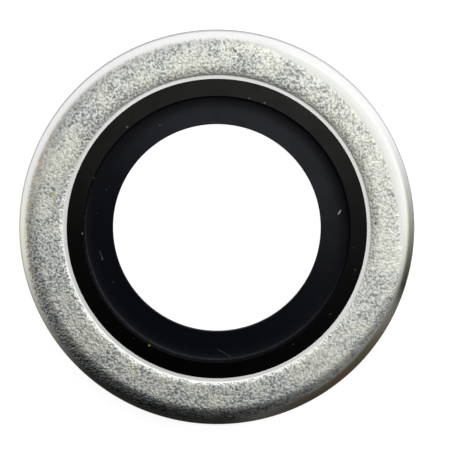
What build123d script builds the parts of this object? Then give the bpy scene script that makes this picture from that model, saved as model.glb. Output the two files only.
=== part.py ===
from build123d import *

import os
from math import radians, tan

# Self-centring bonded sealing washer for an M10 thread.
#
# A steel ring, blanked from strip and tumbled, carries a moulded nitrile seal that is bonded to
# its bore. The seal has a raised lip on each side and a thin web across the middle. The web's
# bore grips the thread and centres the washer while a joint is made up.
#
# Millimetres. The origin is the centre of the washer: +Z is its axis, and z = 0 is the middle of
# its thickness. The seal is the same on both sides. The ring's outer edge is not: blanking rolls
# the upper edge over and leaves the lower one square, and tumbling then rounds that one a little.

# ---- driving dimensions ------------------------------------------------------------------

# radial sizes, from the thread outwards
web_bore_diameter = 8.4
web_width = 1.15  # from the web's bore to the lip
bead_width = 0.72  # from the lip to the ring's bore
ring_width = 1.93  # from the ring's bore to its outer wall

# heights
ring_thickness = 1.5
web_thickness = 0.4
lip_proud = 0.3  # the lip stands this far above the ring's face

# the seal's section
lip_draft_angle = 8.0  # the lip's inner wall leans outwards by this from the axis
lip_crest_width = 0.1  # the narrow flat on the lip's top, with the bevel at its inner corner
lip_crest_bevel = 0.035
web_root_radius = 0.25

# the ring's inner edges: the mould closes on a narrow land, coined just below each face
land_width = 0.13
land_depth = 0.05
land_ramp_width = 0.15

# the ring's upper outer edge: the face is drawn down in a broad roll, and a smooth burnished
# band, steeper than the roll, runs from there to the outer wall, which it meets in a large round
roll_width = 0.48
roll_drop = 0.145
band_width = 0.32
band_height = 0.38
band_edge_radius = 0.4

# the ring's lower outer edge
tumbled_edge_radius = 0.2

# ---- what follows from them --------------------------------------------------------------

web_bore_radius = web_bore_diameter / 2
lip_radius = web_bore_radius + web_width
ring_bore_radius = lip_radius + bead_width
ring_outer_radius = ring_bore_radius + ring_width

face_height = ring_thickness / 2
web_height = web_thickness / 2
lip_height = face_height + lip_proud
land_height = face_height - land_depth

bevel_height = lip_height - lip_crest_bevel
lip_foot_radius = lip_radius - (bevel_height - web_height) * tan(radians(lip_draft_angle))
land_outer_radius = ring_bore_radius + land_width
band_inner_radius = ring_outer_radius - band_width
band_top_height = face_height - roll_drop

os.makedirs("parts", exist_ok=True)

# ---- steel ring --------------------------------------------------------------------------

with BuildPart() as steel_ring:
    with BuildSketch(Plane.XZ):
        with BuildLine():
            inner_edge = Polyline(
                (ring_bore_radius, 0),
                (ring_bore_radius, land_height),
                (land_outer_radius, land_height),
                (land_outer_radius + land_ramp_width, face_height),
            )
            mirror(inner_edge, about=Plane.XZ)
            face = Line(inner_edge @ 1, (band_inner_radius - roll_width, face_height))
            roll = TangentArc(face @ 1, (band_inner_radius, band_top_height), tangent=face % 1)
            FilletPolyline(
                roll @ 1,
                (ring_outer_radius, band_top_height - band_height),
                (ring_outer_radius, -face_height),
                (land_outer_radius + land_ramp_width, -face_height),
                radius=[band_edge_radius, tumbled_edge_radius],
            )
        make_face()
    revolve(axis=Axis.Z)

steel_ring.part.label = "steel_ring"
export_step(steel_ring.part, "parts/steel_ring.step")

# ---- rubber seal -------------------------------------------------------------------------

# The outer wall is the ring's bore, and its edges meet the ring's lands. Half of the section,
# above the middle plane, is drawn from the web's bore outwards and mirrored.
with BuildPart() as rubber_seal:
    with BuildSketch(Plane.XZ):
        with BuildLine() as seal_outline:
            web = FilletPolyline(
                (web_bore_radius, 0),
                (web_bore_radius, web_height),
                (lip_foot_radius, web_height),
                (lip_radius, bevel_height),
                radius=[0, web_root_radius],
            )
            Polyline(
                web @ 1,
                (lip_radius + lip_crest_bevel, lip_height),
                (lip_radius + lip_crest_width, lip_height),
                (ring_bore_radius, land_height),
                (ring_bore_radius, 0),
            )
            mirror(seal_outline.line, about=Plane.XZ)
        make_face()
    revolve(axis=Axis.Z)

rubber_seal.part.label = "rubber_seal"
export_step(rubber_seal.part, "parts/rubber_seal.step")
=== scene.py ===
import logging
import math
from collections.abc import Callable
from dataclasses import dataclass, field
from enum import Enum

import bmesh
import bpy
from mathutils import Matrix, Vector


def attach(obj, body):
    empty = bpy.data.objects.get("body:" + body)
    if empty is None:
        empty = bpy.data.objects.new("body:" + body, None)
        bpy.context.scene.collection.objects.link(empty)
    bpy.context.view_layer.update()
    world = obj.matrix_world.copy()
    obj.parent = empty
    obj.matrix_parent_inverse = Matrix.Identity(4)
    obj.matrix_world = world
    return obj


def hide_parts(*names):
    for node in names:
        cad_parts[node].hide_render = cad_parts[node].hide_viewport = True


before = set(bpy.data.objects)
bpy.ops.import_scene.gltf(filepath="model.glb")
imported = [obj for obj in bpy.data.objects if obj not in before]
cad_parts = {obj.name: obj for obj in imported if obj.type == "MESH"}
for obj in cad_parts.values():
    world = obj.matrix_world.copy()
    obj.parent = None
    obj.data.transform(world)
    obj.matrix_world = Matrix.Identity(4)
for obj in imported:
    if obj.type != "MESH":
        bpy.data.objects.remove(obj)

# Looks of a self-centring bonded sealing washer: a zinc-plated steel ring and its nitrile seal.
# Sizes are in millimetres. A piece is shaped at that scale and brought to metres when it is done.

MM = 0.001
FULL_TURN = 2 * math.pi

Colour = tuple[float, float, float, float]
Point = tuple[float, float]  # a corner of a section: its radius and its height
Socket = bpy.types.NodeSocket

WHITE: Colour = (1.0, 1.0, 1.0, 1.0)

log = logging.getLogger("washer")


class Slot(Enum):
    """The record's material slots."""

    ZINC = "zinc_plated_steel"
    NITRILE = "nitrile_rubber"


class Node(Enum):
    """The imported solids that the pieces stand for."""

    RING = "steel_ring"
    SEAL = "rubber_seal"


# ---- node sheets -------------------------------------------------------------------------


@dataclass(frozen=True)
class Fade:
    """A smooth step.

    Attributes:
        low: where it starts.
        high: where it ends.
        start: the result at and below low.
        end: the result at and above high.
    """

    low: float
    high: float
    start: float = 0.0
    end: float = 1.0


class NodeSheet:
    """Writes nodes into one node tree."""

    def __init__(self, tree: bpy.types.NodeTree) -> None:
        """Takes the empty node tree to write into."""
        self.tree = tree

    def add(self, kind: str, **settings: object) -> bpy.types.Node:
        """Adds a node.

        Args:
            kind: the node's type, without its ShaderNode prefix.
            settings: properties of the node.

        Returns:
            The new node.
        """
        node = self.tree.nodes.new(kind if kind.startswith("Node") else f"ShaderNode{kind}")
        for name, value in settings.items():
            setattr(node, name, value)
        return node

    def feed(self, socket: Socket, value: object) -> None:
        """Links a socket, or writes a constant into it.

        Args:
            socket: the input to fill.
            value: an output socket, or a constant.
        """
        if isinstance(value, Socket):
            self.tree.links.new(value, socket)
        else:
            socket.default_value = value

    def fill(self, node: bpy.types.Node, **values: object) -> bpy.types.Node:
        """Feeds a node's inputs by name.

        Args:
            node: the node.
            values: what each input gets, with an underscore for each space in its name.

        Returns:
            The same node.
        """
        for name, value in values.items():
            self.feed(node.inputs[name.replace("_", " ")], value)
        return node

    def work(self, node: bpy.types.Node, *values: object) -> Socket:
        """Feeds a node's live inputs in order.

        Args:
            node: the node.
            values: what the inputs get.

        Returns:
            Its first live output.
        """
        for socket, value in zip([s for s in node.inputs if s.enabled], values):
            self.feed(socket, value)
        return next(s for s in node.outputs if s.enabled)

    def maths(self, operation: str, *values: object, clamp: bool = False) -> Socket:
        """Adds a Math node.

        Args:
            operation: the sum to do.
            values: its operands, in order.
            clamp: whether the result is kept from 0 to 1.

        Returns:
            The result.
        """
        return self.work(self.add("Math", operation=operation, use_clamp=clamp), *values)

    def product(self, first: object, *others: object) -> Socket:
        """Multiplies values.

        Args:
            first: a value.
            others: what it is multiplied by.

        Returns:
            The product.
        """
        for value in others:
            first = self.maths("MULTIPLY", first, value)
        return first

    def vector(self, operation: str, *values: object) -> Socket:
        """Adds a Vector Math node.

        Args:
            operation: the sum to do.
            values: its operands, in order. A scale's factor is the last.

        Returns:
            The result, a value for a length, distance or dot product.
        """
        return self.work(self.add("VectorMath", operation=operation), *values)

    def ramp(
        self, value: object, low: object, high: object, start: object = 0.0, end: object = 1.0
    ) -> Socket:
        """Adds a smooth step.

        Args:
            value: what is mapped.
            low: where the step starts.
            high: where the step ends.
            start: the result at and below low.
            end: the result at and above high.

        Returns:
            The mapped value.
        """
        node = self.add("MapRange", interpolation_type="SMOOTHSTEP")
        self.fill(node, Value=value, From_Min=low, From_Max=high, To_Min=start, To_Max=end)
        return node.outputs["Result"]

    def fade(self, value: object, fade: Fade) -> Socket:
        """Maps a value by a smooth step."""
        return self.ramp(value, fade.low, fade.high, fade.start, fade.end)

    def layers(self, colour: object, *coats: tuple[object, object]) -> Socket:
        """Lays colours over each other.

        Args:
            colour: the lowest colour.
            coats: a mask and a colour each, from the lowest up.

        Returns:
            The colour that shows.
        """
        for mask, coat in coats:
            colour = self.work(self.add("Mix", data_type="RGBA"), mask, colour, coat)
        return colour

    def noise(
        self, place: object, scale: object, detail: float = 2.0, roughness: float = 0.5
    ) -> Socket:
        """Adds noise.

        Args:
            place: where it is read.
            scale: its repeats to a millimetre.
            detail: how many finer layers it has.
            roughness: how strong those are.

        Returns:
            A value near 0.5.
        """
        node = self.add("TexNoise")
        self.fill(node, Vector=place, Scale=scale, Detail=detail, Roughness=roughness)
        return node.outputs[0]

    def parts(self, vector: object) -> list[Socket]:
        """Splits a vector into its X, Y and Z."""
        return list(self.fill(self.add("SeparateXYZ"), Vector=vector).outputs)

    def joined(self, x: object, y: object, z: object) -> Socket:
        """Makes a vector of three values."""
        return self.work(self.add("CombineXYZ"), x, y, z)

    def flat(self, place: object, factor: float = 1.0) -> Socket:
        """Takes the height out of a place, and scales the rest by a factor."""
        return self.vector("MULTIPLY", place, (factor, factor, 0.0))

    def facing(self, place: object, azimuth: float) -> Socket:
        """Tells how far a place lies towards a compass direction.

        Args:
            place: a direction from the washer.
            azimuth: degrees from +X towards +Y.

        Returns:
            The cosine of the angle between them.
        """
        turn = math.radians(azimuth)
        return self.vector("DOT_PRODUCT", place, (math.cos(turn), math.sin(turn), 0.0))

    def use(self, group: bpy.types.NodeTree, **values: object) -> bpy.types.Node:
        """Places a node group and feeds its inputs, with an underscore for each space."""
        return self.fill(self.add("Group", node_tree=group), **values)

    def glow(self, strength: object, kind: str = "Emission") -> Socket:
        """Adds a shader of a kind that gives white light of a strength."""
        return self.fill(self.add(kind), Color=WHITE, Strength=strength).outputs[0]

    def show(self, surface: Socket, kind: str = "OutputMaterial") -> None:
        """Adds an output of a kind, and links a shader to its surface."""
        self.fill(self.add(kind), Surface=surface)


def blank_material(name: str) -> tuple[bpy.types.Material, NodeSheet]:
    """Makes a material with an empty node tree.

    Args:
        name: its name.

    Returns:
        The material, and a sheet to write it with.
    """
    material = bpy.data.materials.new(name)
    material.use_nodes = True
    material.node_tree.nodes.clear()
    return material, NodeSheet(material.node_tree)


class GroupMaker:
    """Starts a shader node group with named inputs and outputs."""

    VALUE = "NodeSocketFloat"
    VECTOR = "NodeSocketVector"

    def __init__(
        self, name: str, vectors: list[str], values: list[str], outputs: list[str]
    ) -> None:
        """Makes the group's sockets.

        Args:
            name: the group's name.
            vectors: the names of its vector inputs.
            values: the names of its value inputs.
            outputs: the names of its outputs, all values.
        """
        self.tree = bpy.data.node_groups.new(name, "ShaderNodeTree")
        for labels, side, kind in (
            (vectors, "INPUT", self.VECTOR),
            (values, "INPUT", self.VALUE),
            (outputs, "OUTPUT", self.VALUE),
        ):
            for label in labels:
                self.tree.interface.new_socket(label, in_out=side, socket_type=kind)
        self.sheet = NodeSheet(self.tree)
        self.given = self.sheet.add("NodeGroupInput").outputs
        self.put = self.sheet.add("NodeGroupOutput").inputs


@dataclass
class Effects:
    """The effects that the finishes use, each a node group.

    Attributes:
        shifted: how far off the same noise is read for a second pattern.
        lifted: how far off it is read for a third.
        drift_scale: how finely a zone's borders wander.
        ridge_scale: the scale of the ridges' second pattern, where the grain's is 1.
        ridge_gain: how narrow the ridges are.
        speckle_scale: the scale of the speckle.
        finer_scale: the scale of the finer pattern in it.
        speckle_gain: how steep the speckle is.
        speckle_floor: how much is taken off it, so that its lows are flat.
        hollow_gain: how fast the hollows fade as the grain rises.
        streak_turns: how often a streak of length 1 changes in a radian.
        edge: how a spot's edge fades, where 1 is its size.
        upper_side: the heights over which marks appear.
    """

    shifted: tuple[float, float, float] = (31.7, 12.9, 5.3)
    lifted: tuple[float, float, float] = (7.1, 44.3, 19.9)
    drift_scale: float = 5.0
    ridge_scale: float = 1.2
    ridge_gain: float = 5.0
    speckle_scale: float = 1.6
    finer_scale: float = 2.7
    speckle_gain: float = 1.6
    speckle_floor: float = 1.02
    hollow_gain: float = 1.1
    streak_turns: float = 8.0
    edge: Fade = Fade(0.6, 1.1, start=1.0, end=0.0)
    upper_side: Fade = Fade(0.0, 0.05)
    zone: bpy.types.NodeTree = field(init=False)
    grain: bpy.types.NodeTree = field(init=False)
    streaks: bpy.types.NodeTree = field(init=False)
    dust: bpy.types.NodeTree = field(init=False)
    mark: bpy.types.NodeTree = field(init=False)

    def __post_init__(self) -> None:
        """Builds the groups."""
        self.zone = self.make_zone()
        self.grain = self.make_grain()
        self.streaks = self.make_streaks()
        self.dust = self.make_dust()
        self.mark = self.make_mark()

    def make_zone(self) -> bpy.types.NodeTree:
        """Makes a mask of the ring between two radii, whose borders can wander.

        Returns:
            The group.
        """
        made = GroupMaker(
            "radial_zone", ["Place"], ["Inner", "Outer", "Softness", "Wander", "Shift"], ["Mask"]
        )
        s = made.sheet
        place = made.given["Place"]
        soft = made.given["Softness"]
        drift = s.noise(place, self.drift_scale, detail=4.0, roughness=0.7)
        drift = s.maths("SUBTRACT", drift, 0.5)  # noise lies around a half
        radius = s.vector("LENGTH", s.flat(place))
        radius = s.maths("MULTIPLY_ADD", drift, made.given["Wander"], radius)
        radius = s.maths("ADD", radius, made.given["Shift"])
        steps = []
        for border, start, end in (("Inner", 0.0, 1.0), ("Outer", 1.0, 0.0)):
            low = s.maths("SUBTRACT", made.given[border], soft)
            high = s.maths("ADD", made.given[border], soft)
            steps.append(s.ramp(radius, low, high, start, end))
        s.feed(made.put["Mask"], s.product(*steps))
        return made.tree

    def make_grain(self) -> bpy.types.NodeTree:
        """Makes the relief of a tumbled or moulded face: a fine speckle, and worm-like ridges.

        Returns:
            The group.
        """
        made = GroupMaker("tumbled_grain", ["Place"], ["Size", "Ridges"], ["Height", "Hollow"])
        s = made.sheet
        place = made.given["Place"]
        shifted = s.vector("ADD", place, self.shifted)
        lifted = s.vector("ADD", place, self.lifted)
        scale = s.maths("DIVIDE", 1.0, made.given["Size"])
        # ridges run where two patterns are alike
        first = s.noise(place, scale, detail=1.0)
        second = s.noise(shifted, s.product(scale, self.ridge_scale), detail=0.5)
        apart = s.maths("ABSOLUTE", s.maths("SUBTRACT", first, second))
        ridge = s.maths("SUBTRACT", 1.0, s.product(apart, self.ridge_gain), clamp=True)
        grains = s.noise(
            lifted, s.product(scale, self.speckle_scale), detail=0.8, roughness=0.6
        )
        finer = s.noise(shifted, s.product(scale, self.finer_scale), detail=0.0)
        speckle = s.maths(
            "MULTIPLY_ADD",
            s.maths("ADD", grains, finer),
            self.speckle_gain,
            -self.speckle_floor,
            clamp=True,
        )
        rise = s.maths("SUBTRACT", ridge, speckle)
        height = s.maths("MULTIPLY_ADD", rise, made.given["Ridges"], speckle)
        hollow = s.maths("MULTIPLY_ADD", height, -self.hollow_gain, 1.0, clamp=True)
        s.feed(made.put["Height"], height)
        s.feed(made.put["Hollow"], hollow)
        return made.tree

    def make_streaks(self) -> bpy.types.NodeTree:
        """Makes fine lines that run round the axis.

        Returns:
            The group.
        """
        made = GroupMaker("round_streaks", ["Place"], ["Fineness", "Length"], ["Height"])
        s = made.sheet
        flat = s.flat(made.given["Place"])
        across = s.product(s.vector("LENGTH", flat), made.given["Fineness"])
        up = s.product(s.parts(made.given["Place"])[2], made.given["Fineness"])
        shortness = s.maths("DIVIDE", self.streak_turns, made.given["Length"])
        x, y, _ = s.parts(s.vector("SCALE", s.vector("NORMALIZE", flat), shortness))
        lines = s.joined(s.maths("ADD", across, x), y, up)
        s.feed(made.put["Height"], s.noise(lines, 1.0, detail=3.0, roughness=0.6))
        return made.tree

    def make_dust(self) -> bpy.types.NodeTree:
        """Makes scattered specks.

        Returns:
            The group.
        """
        made = GroupMaker("dust_specks", ["Place"], ["Spacing", "Size", "Share"], ["Mask"])
        s = made.sheet
        spacing = made.given["Spacing"]
        cells = s.add("TexVoronoi")
        s.fill(cells, Vector=made.given["Place"], Scale=s.maths("DIVIDE", 1.0, spacing))
        away = s.product(cells.outputs["Distance"], spacing)
        spot = s.fade(s.maths("DIVIDE", away, made.given["Size"]), self.edge)
        chance, strength, _ = s.parts(cells.outputs["Color"])
        kept = s.maths("LESS_THAN", chance, made.given["Share"])
        s.feed(made.put["Mask"], s.product(spot, kept, strength))
        return made.tree

    def make_mark(self) -> bpy.types.NodeTree:
        """Makes one speck, hair or scratch on the upper side.

        Returns:
            The group.
        """
        made = GroupMaker(
            "single_mark",
            ["Place", "Middle"],
            ["Half Length", "Half Width", "Turn", "Bow"],
            ["Mask"],
        )
        s = made.sheet
        moved = s.vector("SUBTRACT", made.given["Place"], made.given["Middle"])
        turned = s.add("VectorRotate", rotation_type="Z_AXIS")
        s.fill(turned, Vector=moved, Angle=s.product(made.given["Turn"], -math.radians(1)))
        x, y, _ = s.parts(turned.outputs[0])
        x = s.maths("DIVIDE", x, made.given["Half Length"])
        bowed = s.product(x, x, made.given["Bow"])
        y = s.maths("DIVIDE", s.maths("SUBTRACT", y, bowed), made.given["Half Width"])
        away = s.vector("LENGTH", s.joined(s.product(x, x), y, 0.0))
        upper = s.fade(s.parts(made.given["Place"])[2], self.upper_side)
        s.feed(made.put["Mask"], s.product(s.fade(away, self.edge), upper))
        return made.tree


# ---- finishes ----------------------------------------------------------------------------


@dataclass(frozen=True)
class Mark:
    """A speck, hair or scratch on the upper side.

    Attributes:
        x: its middle.
        y: its middle.
        half_length: half its length.
        half_width: half its width.
        turn: degrees from +X to its length.
        bow: how far its ends stand off its middle, sideways.
        strength: how plainly it shows, up to 1.
    """

    x: float
    y: float
    half_length: float
    half_width: float
    turn: float = 0.0
    bow: float = 0.0
    strength: float = 1.0


@dataclass(frozen=True)
class Zone:
    """What lies between two radii.

    Attributes:
        inner: the nearer radius.
        outer: the further radius.
        softness: how far it fades to each side of them.
        wander: how far its borders stray.
    """

    inner: float
    outer: float
    softness: float
    wander: float = 0.0


@dataclass(frozen=True)
class Sector:
    """What lies towards a compass direction.

    Attributes:
        azimuth: degrees from +X towards +Y.
        half_width: degrees to each side of it.
        softness: degrees over which it fades, inwards and outwards.
        strength: what its mask reaches.
    """

    azimuth: float
    half_width: float
    softness: float
    strength: float = 1.0


@dataclass(frozen=True)
class Patches:
    """Cloudy patches.

    Attributes:
        scale: their repeats to a millimetre.
        detail: how many finer layers they have.
        roughness: how strong those are.
        fade: how their mask follows from the noise.
    """

    scale: float
    detail: float
    roughness: float
    fade: Fade


class Finish:
    """A material that is being written."""

    def __init__(self, name: str, effects: Effects) -> None:
        """Starts the material with its shader and its place in millimetres.

        Args:
            name: the material's name.
            effects: the shared node groups.
        """
        self.effects = effects
        self.material, self.sheet = blank_material(name)
        self.shader = self.sheet.add("BsdfPrincipled")
        self.sheet.show(self.shader.outputs[0])
        coordinates = self.sheet.add("TexCoord").outputs["Object"]
        self.place = self.sheet.vector("SCALE", coordinates, 1 / MM)

    def marks(self, marks: tuple[Mark, ...]) -> object:
        """Gathers marks into one mask.

        Args:
            marks: the marks.

        Returns:
            The mask of them all, or 0 if there are none.
        """
        s = self.sheet
        total: object = 0.0
        for mark in marks:
            node = s.use(
                self.effects.mark,
                Place=self.place,
                Middle=(mark.x, mark.y, 0.0),
                Half_Length=mark.half_length,
                Half_Width=mark.half_width,
                Turn=mark.turn,
                Bow=mark.bow,
            )
            total = s.maths("MAXIMUM", total, s.product(node.outputs["Mask"], mark.strength))
        return total

    def between(self, zone: Zone, shift: object = 0.0) -> Socket:
        """Masks what lies between two radii.

        Args:
            zone: the radii.
            shift: how far both lie further in.

        Returns:
            The mask.
        """
        node = self.sheet.use(
            self.effects.zone,
            Place=self.place,
            Inner=zone.inner,
            Outer=zone.outer,
            Softness=zone.softness,
            Wander=zone.wander,
            Shift=shift,
        )
        return node.outputs["Mask"]

    def towards(self, sector: Sector) -> Socket:
        """Masks what lies towards a compass direction.

        Args:
            sector: the direction.

        Returns:
            The mask, which reaches the sector's strength.
        """
        s = self.sheet
        furthest = math.radians(min(sector.half_width + sector.softness, 180))
        nearest = math.radians(max(sector.half_width - sector.softness, 0))
        along = s.facing(s.vector("NORMALIZE", s.flat(self.place)), sector.azimuth)
        return s.ramp(along, math.cos(furthest), math.cos(nearest), end=sector.strength)

    def within(self, zone: Zone, sector: Sector) -> Socket:
        """Masks what lies both between two radii and towards a direction."""
        return self.sheet.product(self.between(zone), self.towards(sector))

    def patches(self, patches: Patches) -> Socket:
        """Masks cloudy patches."""
        cloud = self.sheet.noise(self.place, patches.scale, patches.detail, patches.roughness)
        return self.sheet.fade(cloud, patches.fade)

    def bump(self, height: object, reach: float, normal: object = None) -> Socket:
        """Adds relief.

        Args:
            height: the relief.
            reach: how high a relief of 1 stands.
            normal: the normal under it, if any.

        Returns:
            The new normal.
        """
        node = self.sheet.add("Bump")
        self.sheet.fill(node, Strength=1.0, Distance=reach * MM, Height=height)
        if normal is not None:
            self.sheet.fill(node, Normal=normal)
        return node.outputs[0]

    def settle(self, **sockets: object) -> bpy.types.Material:
        """Fills the shader's sockets, and returns the finished material."""
        self.sheet.fill(self.shader, **sockets)
        return self.material


# ---- turned pieces -----------------------------------------------------------------------


@dataclass(frozen=True)
class Round:
    """A round on a corner.

    Attributes:
        reach: how far along each side it starts.
        segments: the edges it has.
    """

    reach: float
    segments: int


class TurnedPiece:
    """A closed section in the XZ plane, shaped flat and then turned about the washer's axis.

    Attributes:
        EXACT: how near a corner has to be to a radius, or to a corner that it is merged with.
        NEAR: how near a corner has to be to the place that is rounded.
        PARTS: the parts of a full turn, a power of 2. One is spun and the rest are copies.
        SMOOTH_ANGLE: the degrees between two faces up to which they are shaded smooth.
    """

    EXACT = 1e-4
    NEAR = 1e-3
    PARTS = 8
    SMOOTH_ANGLE = 11

    def __init__(self, name: str, corners: tuple[Point, ...]) -> None:
        """Draws the section, and leaves it open for editing.

        Args:
            name: the piece's name.
            corners: the section's upper side, from the bore outwards. The lower side mirrors it.
        """
        (inner, height), (outer, _) = corners[:2]
        bpy.ops.object.select_all(action="DESELECT")
        bpy.ops.mesh.primitive_plane_add(
            size=1, location=((inner + outer) / 2, 0, 0), rotation=(math.pi / 2, 0, 0)
        )
        self.piece = bpy.context.object
        self.piece.name = self.piece.data.name = name
        self.piece.scale = (outer - inner, 2 * height, 1)
        bpy.ops.object.transform_apply(location=True, rotation=True, scale=True)
        bpy.ops.object.mode_set(mode="EDIT")
        bpy.ops.mesh.select_mode(type="VERT")
        self.stretch(corners[0], corners[1])
        for start, end in zip(corners[1:], corners[2:]):
            self.extend(start, end)

    def pick(self, test: Callable[[Vector], bool]) -> None:
        """Selects corners, and the edges and faces between them.

        Args:
            test: tells by its place whether a corner is one of them.
        """
        bpy.ops.mesh.select_all(action="DESELECT")
        mesh = bmesh.from_edit_mesh(self.piece.data)
        for corner in mesh.verts:
            corner.select = test(corner.co)
        mesh.select_flush(True)
        bmesh.update_edit_mesh(self.piece.data)

    def stretch(self, start: Point, end: Point) -> None:
        """Scales the height of the corners at a radius.

        Args:
            start: a corner that has their height.
            end: their radius, and the height that they get.
        """
        self.pick(lambda co: abs(co.x - end[0]) < self.EXACT)
        bpy.ops.transform.resize(value=(1, 1, end[1] / start[1]), center_override=(0, 0, 0))

    def extend(self, start: Point, end: Point) -> None:
        """Carries the far side on to a new radius and height, above and below the middle.

        Args:
            start: where it is.
            end: where it goes.
        """
        self.pick(lambda co: abs(co.x - start[0]) < self.EXACT)
        step = (end[0] - start[0], 0, 0)
        bpy.ops.mesh.extrude_region_move(TRANSFORM_OT_translate={"value": step})
        self.stretch(start, end)

    def trim(self, point: Point, slope: float) -> None:
        """Cuts off what is above and outside a falling line.

        Args:
            point: a point of the line.
            slope: the line's fall outwards, in degrees.
        """
        turn = math.radians(slope)
        bpy.ops.mesh.select_all(action="SELECT")
        bpy.ops.mesh.bisect(
            plane_co=(point[0], 0, point[1]),
            plane_no=(math.sin(turn), 0, math.cos(turn)),
            clear_outer=True,
        )

    def clear_inside(self) -> None:
        """Leaves one face, with no edges across it."""
        bpy.ops.mesh.select_all(action="SELECT")
        bpy.ops.mesh.normals_make_consistent(inside=False)
        bpy.ops.mesh.select_all(action="DESELECT")
        bpy.ops.mesh.select_mode(type="EDGE")
        mesh = bmesh.from_edit_mesh(self.piece.data)
        for edge in mesh.edges:
            edge.select = len(edge.link_faces) == 2
        bmesh.update_edit_mesh(self.piece.data)
        bpy.ops.mesh.dissolve_edges(use_verts=False)
        bpy.ops.mesh.select_mode(type="VERT")

    def round_corner(self, corner: Point, rounding: Round, both: bool = True) -> None:
        """Rounds a corner of the section.

        Args:
            corner: where it is.
            rounding: its round.
            both: whether the same corner below the middle is rounded too.
        """
        radius, height = corner
        self.pick(
            lambda co: abs(co.x - radius) < self.NEAR
            and abs((abs(co.z) if both else co.z) - height) < self.NEAR
        )
        bpy.ops.mesh.bevel(
            affect="VERTICES",
            offset=rounding.reach,
            segments=rounding.segments,
            profile=0.5,
            clamp_overlap=False,
        )

    def turn(self, steps: int) -> bpy.types.Object:
        """Turns the section into the solid, and brings it to metres.

        Args:
            steps: the sides of a full turn.

        Returns:
            The closed piece, at the origin.
        """
        bpy.ops.mesh.select_all(action="SELECT")
        bpy.ops.mesh.delete(type="ONLY_FACE")
        bpy.ops.mesh.select_all(action="SELECT")
        parts = self.PARTS
        bpy.ops.mesh.spin(
            steps=steps // parts, angle=FULL_TURN / parts, center=(0, 0, 0), axis=(0, 0, 1)
        )
        # copies double what there is until the turn is full
        while parts > 1:
            bpy.ops.mesh.select_all(action="SELECT")
            bpy.ops.mesh.duplicate()
            bpy.ops.transform.rotate(
                value=FULL_TURN / parts, orient_axis="Z", center_override=(0, 0, 0)
            )
            parts //= 2
        bpy.ops.mesh.select_all(action="SELECT")
        bpy.ops.mesh.remove_doubles(threshold=self.EXACT)
        bpy.ops.mesh.normals_make_consistent(inside=False)
        bpy.ops.object.mode_set(mode="OBJECT")
        self.piece.scale = (MM, MM, MM)
        bpy.ops.object.transform_apply(location=True, rotation=True, scale=True)
        bpy.ops.object.shade_smooth_by_angle(angle=math.radians(self.SMOOTH_ANGLE))
        return self.piece


# ---- steel ring --------------------------------------------------------------------------


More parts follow.
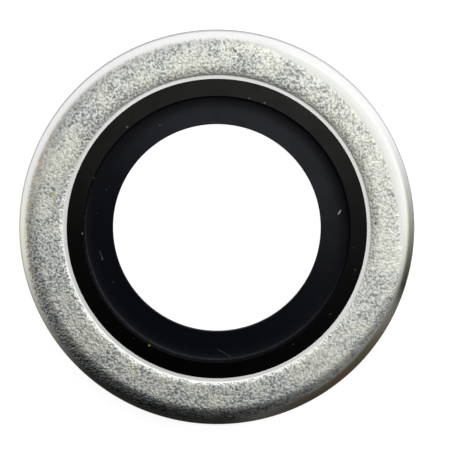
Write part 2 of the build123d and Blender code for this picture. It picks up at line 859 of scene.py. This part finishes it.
@dataclass(frozen=True)
class ZincFinish:
    """Tumbled steel under bright zinc: speckled faces, and a smooth land, band and wall.

    Attributes:
        grain_from: where the speckled face starts.
        grain_to: where it ends.
        early: the side on which it ends early, and by how much.
        late: the side on which it ends late, and by how much.
        mottle: the duller patches of the face.
        lit_sides: the sides on which the hollows are weaker, and by how much: painted light that
            makes the face lighter there.
        hollow_least: how strong the hollows are between the duller patches.
        hollow_gain: how much stronger they are in them.
        matt_zone: the matt part, which ends on the roll.
        matt_lean: how much further out it reaches on the far side, and in on the near side.
        deep_shade_side: where the hollows are deep, with painted shade in them on the near left.
        matt_loss: how much of that depth is missing on the matt part.
        deep_relief: how much relief is added where they are deep.
        far_shade_side: where painted shade makes the matt part greyer, on the far right.
        soil_least: how plain the brown soil and its painted shade are on what stands up.
        soil_gain: how much plainer they are in the hollows.
        shade_zone: where painted shade makes the roll darker.
        rust_lines: how the rust follows the streaks.
        matt_roughness: what the matt part adds to the roughness.
        hollow_roughness: what a hollow adds to that.
        ramp_polish: how much of the matt look is missing on the ramp.
    """

    zinc: Colour = (0.98, 0.985, 0.885, 1.0)
    dulled: Colour = (0.85, 0.885, 0.865, 1.0)
    hollow: Colour = (0.355, 0.36, 0.325, 1.0)
    # the colour of painted shade: in the hollows on the near left, and below the roll
    deep_shade: Colour = (0.11, 0.13, 0.155, 1.0)
    soil_and_shade: Colour = (0.19, 0.182, 0.14, 1.0)
    land: Colour = (0.93, 0.935, 0.90, 1.0)
    polished: Colour = (1.0, 1.0, 0.97, 1.0)
    rolled: Colour = (0.69, 0.70, 0.665, 1.0)
    band: Colour = (0.87, 0.875, 0.865, 1.0)
    warm: Colour = (0.88, 0.87, 0.74, 1.0)
    fringe: Colour = (0.74, 0.62, 0.44, 1.0)
    tarnish: Colour = (0.09, 0.062, 0.03, 1.0)
    rust: Colour = (0.26, 0.08, 0.035, 1.0)
    yellow: Colour = (0.66, 0.62, 0.20, 1.0)
    # real pits, and the colour of painted shade on the matt part and the ramp
    pit_and_shade: Colour = (0.16, 0.16, 0.15, 1.0)

    grain_size: float = 0.22
    grain_depth: float = 0.0065
    grain_from: Zone = Zone(6.25, 9.0, 0.03, 0.10)
    grain_to: Zone = Zone(0.0, 7.66, 0.09, 0.24)
    early: Sector = Sector(32, 30, 24, 0.36)
    late: Sector = Sector(236, 46, 16, 0.17)
    streak_fineness: float = 18.0
    streak_length: float = 4.0
    streak_depth: float = 0.002
    mottle: Patches = Patches(0.8, 5.0, 0.7, Fade(0.38, 0.62))
    lit_sides: tuple[Sector, ...] = (Sector(340, 35, 30, 0.14), Sector(180, 22, 20, 0.12))
    hollow_least: float = 0.7
    hollow_gain: float = 0.6
    warm_side: Sector = Sector(270, 97, 14)
    roll_zone: Zone = Zone(6.5, 7.66, 0.05)
    inner_zone: Zone = Zone(0.0, 6.5, 0.05)
    land_zone: Zone = Zone(0.0, 6.20, 0.01)
    matt_zone: Zone = Zone(0.0, 7.43, 0.22, 0.10)
    matt_lean: float = 0.09
    deep_shade_side: Sector = Sector(222, 50, 35)
    matt_loss: float = 0.7
    deep_relief: float = 2.1
    far_shade_side: Sector = Sector(45, 55, 30, 0.16)
    soil_zone: Zone = Zone(6.25, 6.56, 0.14, 0.14)
    soil_and_shade_side: Sector = Sector(75, 80, 20)
    soil_least: float = 0.24
    soil_gain: float = 0.5
    ramp_zone: Zone = Zone(6.20, 6.34, 0.03, 0.04)
    ramp_shade_side: Sector = Sector(170, 100, 30, 0.14)
    shade_zone: Zone = Zone(7.32, 7.70, 0.10, 0.10)
    shade_side: Sector = Sector(250, 36, 20, 0.32)
    film_zone: Zone = Zone(7.66, 8.1, 0.05, 0.1)
    film_side: Sector = Sector(308, 22, 14, 0.9)
    fringe_zone: Zone = Zone(7.58, 7.72, 0.07, 0.20)
    fringe_side: Sector = Sector(172, 26, 14, 0.6)
    fringe_patches: Patches = Patches(3.5, 3.0, 0.65, Fade(0.30, 0.54))
    rust_lines: Fade = Fade(0.40, 0.60, start=0.4, end=0.9)
    scratch_rise: float = 0.5
    smooth_roughness: float = 0.24
    matt_roughness: float = 0.28
    hollow_roughness: float = 0.12
    ramp_polish: float = 0.72
    scratches: tuple[Mark, ...] = (
        Mark(0.247, 7.425, 0.24, 0.030, 110),
        Mark(0.713, 6.960, 0.16, 0.025, 4),
        Mark(7.055, -0.125, 0.30, 0.028, -35, 0.05),
        Mark(7.271, 0.543, 0.11, 0.028, 0),
        Mark(4.620, -5.947, 0.07, 0.035, 122),
        Mark(-5.887, -4.903, 0.11, 0.022, 22),
        Mark(-5.279, -5.611, 0.06, 0.022, 40),
        Mark(-7.283, -1.340, 0.11, 0.016, 135),
    )
    pits: tuple[Mark, ...] = (
        Mark(0.700, 7.215, 0.14, 0.036, -55, 0.04),
        Mark(6.401, 0.219, 0.06, 0.045, 70),
    )
    rusty: tuple[Mark, ...] = (
        Mark(4.960, -6.020, 0.62, 0.055, 39.5, 0.024),
        Mark(3.478, -6.825, 0.30, 0.060, 27, 0.006, strength=0.6),
    )
    specks: tuple[Mark, ...] = (
        Mark(-3.328, -5.713, 0.055, 0.040, strength=0.8),
        Mark(-6.619, 1.413, 0.15, 0.085, 70, strength=0.5),
    )

    def build(self, effects: Effects) -> bpy.types.Material:
        """Writes the material.

        Args:
            effects: the shared node groups.

        Returns:
            The material.
        """
        made = Finish("zinc_plated_tumbled_steel", effects)
        s = made.sheet
        grain = s.use(effects.grain, Place=made.place, Size=self.grain_size, Ridges=0.0).outputs
        streaks = s.use(
            effects.streaks,
            Place=made.place,
            Fineness=self.streak_fineness,
            Length=self.streak_length,
        ).outputs["Height"]
        grainy = self.grained(made)
        mottle = made.patches(self.mottle)
        share = s.maths("MULTIPLY_ADD", mottle, self.hollow_gain, self.hollow_least)
        # painted light: on these sides the hollows are weaker, so the face shows lighter
        for side in self.lit_sides:
            share = s.maths("SUBTRACT", share, made.towards(side))
        hollow = s.product(grain["Hollow"], grainy, share)
        lean = s.product(s.parts(s.vector("NORMALIZE", made.place))[1], -self.matt_lean)
        matt = made.between(self.matt_zone, lean)
        # painted shade: deeper, darker hollows towards the near left, less of it on the matt part
        deep_shade = s.maths("MULTIPLY_ADD", matt, -self.matt_loss, 1.0)
        deep_shade = s.product(deep_shade, made.towards(self.deep_shade_side))
        soil = s.maths("MULTIPLY_ADD", grain["Hollow"], self.soil_gain, self.soil_least)
        ramp = made.between(self.ramp_zone)
        tarnished = made.within(self.film_zone, self.film_side)
        left = made.within(self.fringe_zone, self.fringe_side)
        scratches = made.marks(self.scratches)
        pits = made.marks(self.pits)
        colour = s.layers(
            self.smooth(made),
            (grainy, s.layers(self.zinc, (mottle, self.dulled))),
            (hollow, s.layers(self.hollow, (deep_shade, self.deep_shade))),
            # painted shade on the matt part, towards the far right
            (s.product(matt, made.towards(self.far_shade_side)), self.pit_and_shade),
            # brown soil near the ramp on the far side, deepened with painted shade
            (s.product(made.within(self.soil_zone, self.soil_and_shade_side), soil), self.soil_and_shade),
            # painted shade on the ramp, towards the left
            (s.product(ramp, made.towards(self.ramp_shade_side)), self.pit_and_shade),
            # painted shade below the roll on the near left
            (made.within(self.shade_zone, self.shade_side), self.deep_shade),
            (tarnished, self.tarnish),
            (s.product(left, made.patches(self.fringe_patches)), self.fringe),
            (s.product(made.marks(self.rusty), s.fade(streaks, self.rust_lines)), self.rust),
            (scratches, self.polished),
            (pits, self.pit_and_shade),
            (made.marks(self.specks), self.yellow),
        )
        stronger = s.maths("MULTIPLY_ADD", deep_shade, self.deep_relief, 1.0)
        relief = s.product(grain["Height"], grainy, stronger)
        relief = s.maths("SUBTRACT", relief, pits)
        relief = s.maths("MULTIPLY_ADD", scratches, self.scratch_rise, relief)
        normal = made.bump(relief, self.grain_depth)
        normal = made.bump(streaks, self.streak_depth, normal)
        rough = s.maths("MULTIPLY_ADD", hollow, self.hollow_roughness, self.matt_roughness)
        matt = s.maths("SUBTRACT", matt, s.product(ramp, self.ramp_polish))
        rough = s.maths("MULTIPLY_ADD", matt, rough, self.smooth_roughness)
        metal = s.maths("SUBTRACT", 1.0, tarnished)
        return made.settle(Base_Color=colour, Metallic=metal, Roughness=rough, Normal=normal)

    def grained(self, made: Finish) -> Socket:
        """Masks the speckled face, which ends early on the far right and late on the near left.

        Args:
            made: the material.

        Returns:
            The mask.
        """
        s = made.sheet
        shift = s.maths("SUBTRACT", made.towards(self.early), made.towards(self.late))
        return s.product(made.between(self.grain_from), made.between(self.grain_to, shift))

    def smooth(self, made: Finish) -> Socket:
        """Colours the smooth parts: the band and wall, the roll, the ramp and the land.

        Args:
            made: the material.

        Returns:
            The colour.
        """
        return made.sheet.layers(
            self.band,
            (made.towards(self.warm_side), self.warm),
            (made.between(self.roll_zone), self.rolled),
            (made.between(self.inner_zone), self.dulled),
            (made.between(self.land_zone), self.land),
        )


@dataclass
class SteelRing:
    """The ring, blanked from strip, tumbled and plated.

    Attributes:
        roll: where the slope of the roll starts on the upper face.
        band: where the steeper band starts on that slope.
        knee: the radius at which the band turns steeper still.
        lower_round: the round on the lower outer edge.
    """

    bore: Point = (6.07, 0.687)
    land: Point = (6.20, 0.695)
    ramp: Point = (6.34, 0.7260)
    shoulder: Point = (6.42, 0.7372)
    crown: Point = (6.78, 0.75)
    wall: Point = (8.0, 0.75)
    roll: Point = (7.4619, 0.75)
    roll_slope: float = 33.6
    band: Point = (7.68, 0.605)
    band_slope: float = 42.0
    knee: float = 7.80
    knee_slope: float = 57.0
    roll_round: Round = Round(0.2619, 12)
    band_round: Round = Round(0.05, 4)
    knee_round: Round = Round(0.13, 8)
    wall_round: Round = Round(0.12, 10)
    lower_round: Round = Round(0.2, 12)
    land_round: Round = Round(0.02, 3)
    ramp_round: Round = Round(0.035, 4)
    shoulder_round: Round = Round(0.025, 3)
    crown_round: Round = Round(0.30, 6)
    steps: int = 720
    finish: ZincFinish = ZincFinish()

    def fallen(self, start: Point, slope: float, outer: float) -> Point:
        """Tells where a falling line is further out.

        Args:
            start: where the line starts.
            slope: its fall, in degrees.
            outer: the radius asked about.

        Returns:
            The line's point there.
        """
        return outer, start[1] - (outer - start[0]) * math.tan(math.radians(slope))

    def build(self, effects: Effects) -> bpy.types.Object:
        """Models and dresses the ring.

        Args:
            effects: the shared node groups.

        Returns:
            The piece.
        """
        ring = TurnedPiece(
            "zinc_plated_ring",
            (self.bore, self.land, self.ramp, self.shoulder, self.crown, self.wall),
        )
        knee = self.fallen(self.band, self.band_slope, self.knee)
        edge, height = self.wall
        ring.trim(self.roll, self.roll_slope)
        ring.trim(self.band, self.band_slope)
        ring.trim(knee, self.knee_slope)
        ring.clear_inside()
        for corner, rounding in (
            (self.roll, self.roll_round),
            (self.band, self.band_round),
            (knee, self.knee_round),
            (self.fallen(knee, self.knee_slope, edge), self.wall_round),
            ((edge, -height), self.lower_round),
        ):
            ring.round_corner(corner, rounding, both=False)
        for corner, rounding in (
            (self.land, self.land_round),
            (self.ramp, self.ramp_round),
            (self.shoulder, self.shoulder_round),
            (self.crown, self.crown_round),
        ):
            ring.round_corner(corner, rounding)
        piece = ring.turn(self.steps)
        piece.data.materials.append(self.finish.build(effects))
        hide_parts(Node.RING.value)
        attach(piece, "root")
        return piece


# ---- rubber seal -------------------------------------------------------------------------


@dataclass(frozen=True)
class NitrileFinish:
    """Black moulded nitrile, with a little dust and lint, painted light and a painted highlight.

    Attributes:
        lit_haze_zone: where painted light lies on the rubber as a pale, patchy haze.
        lit_haze_side: where it is plainest, on the far side.
        foot_glint_zone: where a painted highlight runs at the foot of the lip, with dust settled
            in it.
        foot_glint_side: where there is most of it, on the near side.
    """

    name: str
    black: Colour
    gloss: float
    roughness: float
    lit_haze_zone: Zone
    lit_haze_side: Sector
    dust_and_sheen: Colour
    lint_marks: tuple[Mark, ...]
    yellow_marks: tuple[Mark, ...] = ()
    lint: Colour = (0.75, 0.75, 0.70, 1.0)
    yellow: Colour = (0.55, 0.42, 0.05, 1.0)
    grain_size: float = 0.14
    grain_ridges: float = 0.2
    grain_depth: float = 0.001
    grain_roughness: float = 0.06
    lit_haze_patches: Patches = Patches(1.5, 2.0, 0.5, Fade(0.2, 0.6, start=0.6))
    foot_glint_zone: Zone = Zone(5.305, 5.375, 0.02)
    foot_glint_side: Sector = Sector(262, 74, 26)
    foot_glint_patches: Patches = Patches(6.0, 3.0, 0.5, Fade(0.3, 0.7, start=0.016, end=0.036))
    dust_spacing: float = 0.5
    dust_size: float = 0.02
    dust_share: float = 0.12
    dust_strength: float = 0.3

    def build(self, effects: Effects) -> bpy.types.Material:
        """Writes the material.

        Args:
            effects: the shared node groups.

        Returns:
            The material.
        """
        made = Finish(self.name, effects)
        s = made.sheet
        grain = s.use(
            effects.grain, Place=made.place, Size=self.grain_size, Ridges=self.grain_ridges
        ).outputs["Height"]
        dust = s.use(
            effects.dust,
            Place=made.place,
            Spacing=self.dust_spacing,
            Size=self.dust_size,
            Share=self.dust_share,
        ).outputs["Mask"]
        # painted light: a pale, patchy haze, plainest on the far side
        lit_haze = made.within(self.lit_haze_zone, self.lit_haze_side)
        lit_haze = s.product(lit_haze, made.patches(self.lit_haze_patches))
        # a painted highlight along the foot of the lip on the near side, with settled dust
        foot_glint = made.within(self.foot_glint_zone, self.foot_glint_side)
        foot_glint = s.product(foot_glint, made.patches(self.foot_glint_patches))
        colour = s.layers(
            self.black,
            # the painted light, the painted highlight and the settled dust share one pale colour
            (s.maths("MAXIMUM", lit_haze, foot_glint), self.dust_and_sheen),
            (s.product(dust, self.dust_strength), self.lint),
            (made.marks(self.lint_marks), self.lint),
            (made.marks(self.yellow_marks), self.yellow),
        )
        normal = made.bump(grain, self.grain_depth)
        rough = s.maths("MULTIPLY_ADD", grain, self.grain_roughness, self.roughness)
        return made.settle(
            Base_Color=colour, Roughness=rough, Normal=normal, Specular_IOR_Level=self.gloss
        )


@dataclass
class RubberSeal:
    """The moulding: a thin web to hold the thread, and a bead with a lip on each side.

    Attributes:
        dish: where the web turns up towards the lip.
        bond: the corner at which the bead meets the ring.
        crest: the radius of the lip's top, where the two finishes meet.
    """

    web_bore: Point = (4.2, 0.2)
    dish: Point = (5.06, 0.2095)
    lip_foot: Point = (5.385, 0.2437)
    lip_inner: Point = (5.3949, 1.05)
    lip_outer: Point = (5.42, 1.05)
    bond: Point = (6.07, 0.687)
    crest: float = 5.40
    web_round: Round = Round(0.03, 3)
    dish_round: Round = Round(0.15, 10)
    foot_round: Round = Round(0.10, 12)
    lip_round: Round = Round(0.012, 3)
    steps: int = 720
    web_finish: NitrileFinish = NitrileFinish(
        name="nitrile_web",
        black=(0.0006, 0.0012, 0.0042, 1.0),
        gloss=0.11,
        roughness=0.20,
        lit_haze_zone=Zone(0.0, 4.92, 0.24),
        lit_haze_side=Sector(68, 65, 32, 0.0175),
        dust_and_sheen=(0.68, 0.72, 0.86, 1.0),
        lint_marks=(
            Mark(4.960, 0.636, 0.125, 0.034, 56, strength=0.60),
            Mark(-4.684, -1.093, 0.23, 0.026, 108, 0.02, strength=0.06),
            Mark(-4.640, -1.240, 0.08, 0.030, 104, strength=0.14),
            Mark(0.296, -5.080, 0.36, 0.014, -31, strength=0.08),
            Mark(-2.304, 4.166, 0.035, 0.030, strength=0.12),
            Mark(-4.466, 1.555, 0.035, 0.035, strength=0.06),
            Mark(-4.854, 0.603, 0.030, 0.030, strength=0.03),
            Mark(-4.206, -2.190, 0.030, 0.030, strength=0.06),
            Mark(-4.960, 2.032, 0.030, 0.030, strength=0.12),
            Mark(-5.370, 0.470, 0.035, 0.030, strength=0.06),
        ),
    )
    bead_finish: NitrileFinish = NitrileFinish(
        name="nitrile_bead",
        black=(0.0022, 0.0021, 0.0020, 1.0),
        gloss=0.065,
        roughness=0.32,
        lit_haze_zone=Zone(0.0, 9.0, 0.24),
        lit_haze_side=Sector(95, 65, 32, 0.0168),
        dust_and_sheen=(0.75, 0.75, 0.70, 1.0),
        lint_marks=(
            Mark(-5.425, -0.166, 0.035, 0.035, strength=0.35),
            Mark(-3.610, 4.146, 0.045, 0.030, 40, strength=0.20),
            Mark(-3.368, -4.413, 0.030, 0.030, strength=0.08),
            Mark(4.579, -3.441, 0.035, 0.030, strength=0.10),
            Mark(3.081, -4.656, 0.035, 0.030, strength=0.10),
            Mark(5.591, -1.652, 0.030, 0.030, strength=0.10),
            Mark(1.927, 5.117, 0.035, 0.030, strength=0.15),
            Mark(1.300, 5.300, 0.030, 0.030, strength=0.12),
        ),
        yellow_marks=(Mark(-2.729, -4.700, 0.050, 0.045, 30),),
    )

    def build(self, effects: Effects) -> bpy.types.Object:
        """Models and dresses the seal.

        Args:
            effects: the shared node groups.

        Returns:
            The piece.
        """
        seal = TurnedPiece(
            "nitrile_seal",
            (self.web_bore, self.dish, self.lip_foot, self.lip_inner, self.lip_outer, self.bond),
        )
        seal.clear_inside()
        for corner, rounding in (
            (self.web_bore, self.web_round),
            (self.dish, self.dish_round),
            (self.lip_foot, self.foot_round),
            (self.lip_inner, self.lip_round),
            (self.lip_outer, self.lip_round),
        ):
            seal.round_corner(corner, rounding)
        piece = seal.turn(self.steps)
        piece.data.materials.append(self.web_finish.build(effects))
        piece.data.materials.append(self.bead_finish.build(effects))
        for face in piece.data.polygons:
            middle = face.center
            face.material_index = int(math.hypot(middle.x, middle.y) > self.crest * MM)
        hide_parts(Node.SEAL.value)
        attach(piece, "root")
        return piece


# ---- studio ------------------------------------------------------------------------------


@dataclass(frozen=True)
class Side:
    """A change from one side of the studio to the other.

    Attributes:
        azimuth: degrees from +X towards +Y, to the side where it ends.
        fade: how it follows from the cosine of the angle from there.
    """

    azimuth: float
    fade: Fade


@dataclass
class Studio:
    """A pale floor, soft light from the far side, a black card on the near side and a camera.

    Attributes:
        world_light: how strongly the world lights things.
        floor_glow: how bright the floor shows.
        floor_shade: how bright it is in reflections, by the distance from the axis.
        key_azimuth: the direction of the key light.
        key_edge: the cosine of the angle from there at which its panel starts.
        key_full: the cosine at which the panel is whole, at the horizon.
        key_lean: how much lower that cosine is overhead.
        key_end: where the panel ends at the far left.
        key_rise: how it brightens upwards from the horizon.
        key_top: how much it brightens again near the top.
        halo: what the cloth passes on beside the panel.
        cloth: what it passes on from the far side.
        horizon: how far round the studio the horizon is bright.
        horizon_height: how far up.
        card_lift: how far the card lies above the floor.
        card_side: how it turns black towards the near side.
    """

    world_light: float = 0.8
    floor_size: float = 4000.0
    floor_height: float = -1.05
    floor_paper: Colour = (0.45, 0.45, 0.45, 1.0)
    floor_glow: float = 0.90
    floor_shade: Fade = Fade(8.3, 10.5, start=0.16, end=0.755)
    tent_radius: float = 28.0
    tent_sides: int = 96
    key_azimuth: float = 60.0
    key_edge: float = -0.15
    key_full: float = 0.80
    key_lean: float = 0.67
    key_end: Side = Side(139, Fade(0.32, 0.48, start=1.0, end=0.0))
    key_rise: Fade = Fade(0.0, 0.5, start=1.1, end=1.35)
    key_top: Fade = Fade(0.78, 0.93, end=0.62)
    halo: Side = Side(60, Fade(-0.99, 0.20, start=0.02, end=0.29))
    cloth: tuple[Side, Side] = (
        Side(108, Fade(-0.75, 0.64, end=0.54)),
        Side(91, Fade(0.55, 1.09, end=0.54)),
    )
    horizon: Side = Side(82, Fade(-0.67, 0.41))
    horizon_height: Fade = Fade(0.12, -0.01)
    card_inner: float = 8.8
    card_lift: float = 0.03
    card_black: Colour = (0.01, 0.01, 0.01, 1.0)
    card_side: Side = Side(286, Fade(-0.35, 0.60, end=0.98))
    camera_tilt: float = 4.3
    camera_distance: float = 300.0
    sensor_width: float = 36.0
    view_width: float = 18.30
    aim_x: float = 0.369
    aim_y: float = 0.061

    def build(self) -> None:
        """Sets up the whole studio."""
        bpy.context.scene.view_settings.view_transform = "Standard"
        self.build_world()
        self.build_floor()
        self.build_tent()
        self.build_card()
        self.build_camera()

    def seen(self, sheet: NodeSheet) -> Socket:
        """Tells rays that show the background from those that light things.

        Args:
            sheet: the sheet to write on.

        Returns:
            1 for camera, glossy and transmission rays, and 0 for the rest.
        """
        path = sheet.add("LightPath").outputs
        kinds = sheet.maths("ADD", path["Is Camera Ray"], path["Is Glossy Ray"])
        return sheet.maths("ADD", kinds, path["Is Transmission Ray"], clamp=True)

    def along(self, sheet: NodeSheet, place: Socket, side: Side) -> Socket:
        """Maps a direction from the washer by how far it lies towards a side."""
        return sheet.fade(sheet.facing(place, side.azimuth), side.fade)

    def build_world(self) -> None:
        """Makes a world that shows white and gives a little even light."""
        world = bpy.data.worlds.new("white_surround")
        bpy.context.scene.world = world
        world.use_nodes = True
        world.node_tree.nodes.clear()
        s = NodeSheet(world.node_tree)
        strength = s.maths("MAXIMUM", self.seen(s), self.world_light)
        s.show(s.glow(strength, "Background"), "OutputWorld")

    def build_floor(self) -> None:
        """Lays the floor that the washer rests on."""
        bpy.ops.object.select_all(action="DESELECT")
        bpy.ops.mesh.primitive_plane_add(
            size=self.floor_size * MM, location=(0, 0, self.floor_height * MM)
        )
        floor = bpy.context.object
        floor.name = "pale_floor"
        material, s = blank_material("pale_floor")
        paper = s.fill(s.add("BsdfDiffuse"), Color=self.floor_paper)
        # in reflections the floor is darker close to the wall
        flat = s.flat(s.add("TexCoord").outputs["Object"], 1 / MM)
        shade = s.fade(s.vector("LENGTH", flat), self.floor_shade)
        mirrored = s.add("LightPath").outputs["Is Glossy Ray"]
        shade = s.maths("MULTIPLY_ADD", mirrored, s.maths("SUBTRACT", shade, 1.0), 1.0)
        glow = s.glow(s.product(self.seen(s), shade, self.floor_glow))
        s.show(s.work(s.add("AddShader"), paper.outputs[0], glow))
        floor.data.materials.append(material)

    def build_tent(self) -> None:
        """Raises the light tent: white on the far side and black on the near side."""
        bpy.ops.object.select_all(action="DESELECT")
        bpy.ops.mesh.primitive_uv_sphere_add(
            segments=self.tent_sides,
            ring_count=self.tent_sides // 2,
            radius=self.tent_radius * MM,
            location=(0, 0, 0),
        )
        tent = bpy.context.object
        tent.name = "light_tent"
        bpy.ops.object.mode_set(mode="EDIT")
        bpy.ops.mesh.select_all(action="SELECT")
        bpy.ops.mesh.bisect(
            plane_co=(0, 0, self.floor_height * MM),
            plane_no=(0, 0, -1),
            clear_outer=True,
            threshold=1e-6,
        )
        bpy.ops.object.mode_set(mode="OBJECT")
        bpy.ops.object.shade_smooth()
        material, s = blank_material("light_tent")
        s.show(s.glow(self.tent_light(s)))
        tent.data.materials.append(material)
        tent.visible_camera = False

    def tent_light(self, sheet: NodeSheet) -> Socket:
        """Tells how bright the tent is.

        Args:
            sheet: the sheet to write on.

        Returns:
            Its brightness, by the direction from the washer.
        """
        s = sheet
        place = s.vector("NORMALIZE", s.add("TexCoord").outputs["Object"])
        height = s.parts(place)[2]
        # the key: a broad panel overhead, down to the far right
        whole = s.maths("MULTIPLY_ADD", height, -self.key_lean, self.key_full)
        light = s.ramp(s.facing(place, self.key_azimuth), self.key_edge, whole)
        bright = s.maths("ADD", s.fade(height, self.key_rise), s.fade(height, self.key_top))
        light = s.product(light, self.along(s, place, self.key_end), bright)
        # the cloth, and the horizon on the far side
        halo = self.along(s, place, self.halo)
        cloth = s.maths("ADD", *(self.along(s, place, side) for side in self.cloth))
        low = s.product(s.fade(height, self.horizon_height), self.along(s, place, self.horizon))
        for other in (halo, cloth, low):
            light = s.maths("MAXIMUM", light, other)
        return light

    def build_card(self) -> None:
        """Lays the black card that keeps the near side of the floor out of the steel."""
        bpy.ops.object.select_all(action="DESELECT")
        bpy.ops.mesh.primitive_circle_add(
            vertices=self.tent_sides,
            radius=self.card_inner * MM,
            location=(0, 0, (self.floor_height + self.card_lift) * MM),
        )
        card = bpy.context.object
        card.name = "black_card"
        bpy.ops.object.mode_set(mode="EDIT")
        bpy.ops.mesh.select_all(action="SELECT")
        bpy.ops.mesh.extrude_region_move()
        wider = self.tent_radius / self.card_inner
        bpy.ops.transform.resize(value=(wider, wider, 1))
        bpy.ops.object.mode_set(mode="OBJECT")
        bpy.ops.object.transform_apply(location=True, rotation=False, scale=False)
        material, s = blank_material("black_card")
        place = s.vector("NORMALIZE", s.flat(s.add("TexCoord").outputs["Object"]))
        clear = s.add("BsdfTransparent")
        black = s.fill(s.add("BsdfDiffuse"), Color=self.card_black)
        near = self.along(s, place, self.card_side)
        s.show(s.work(s.add("MixShader"), near, clear.outputs[0], black.outputs[0]))
        card.data.materials.append(material)
        card.visible_camera = False
        card.visible_diffuse = False
        card.visible_shadow = False

    def build_camera(self) -> None:
        """Sets the camera almost straight above, leaning to the far side."""
        data = bpy.data.cameras.new("camera")
        data.sensor_width = self.sensor_width
        data.lens = self.sensor_width * self.camera_distance / self.view_width
        data.clip_start = 0.001
        data.clip_end = 10.0
        camera = bpy.data.objects.new("camera", data)
        bpy.context.scene.collection.objects.link(camera)
        tilt = math.radians(self.camera_tilt)
        camera.rotation_euler = (-tilt, 0.0, 0.0)
        camera.location = (
            self.aim_x * MM,
            (self.aim_y + self.camera_distance * math.sin(tilt)) * MM,
            self.camera_distance * math.cos(tilt) * MM,
        )
        bpy.context.scene.camera = camera


def main() -> None:
    """Builds the washer's two pieces and the studio round them."""
    logging.basicConfig(level=logging.INFO, format="%(name)s: %(message)s")
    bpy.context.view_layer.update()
    effects = Effects()
    for maker in (SteelRing(), RubberSeal()):
        piece = maker.build(effects)
        log.info("%s: %d faces", piece.name, len(piece.data.polygons))
    Studio().build()


if __name__ == "__main__":
    main()
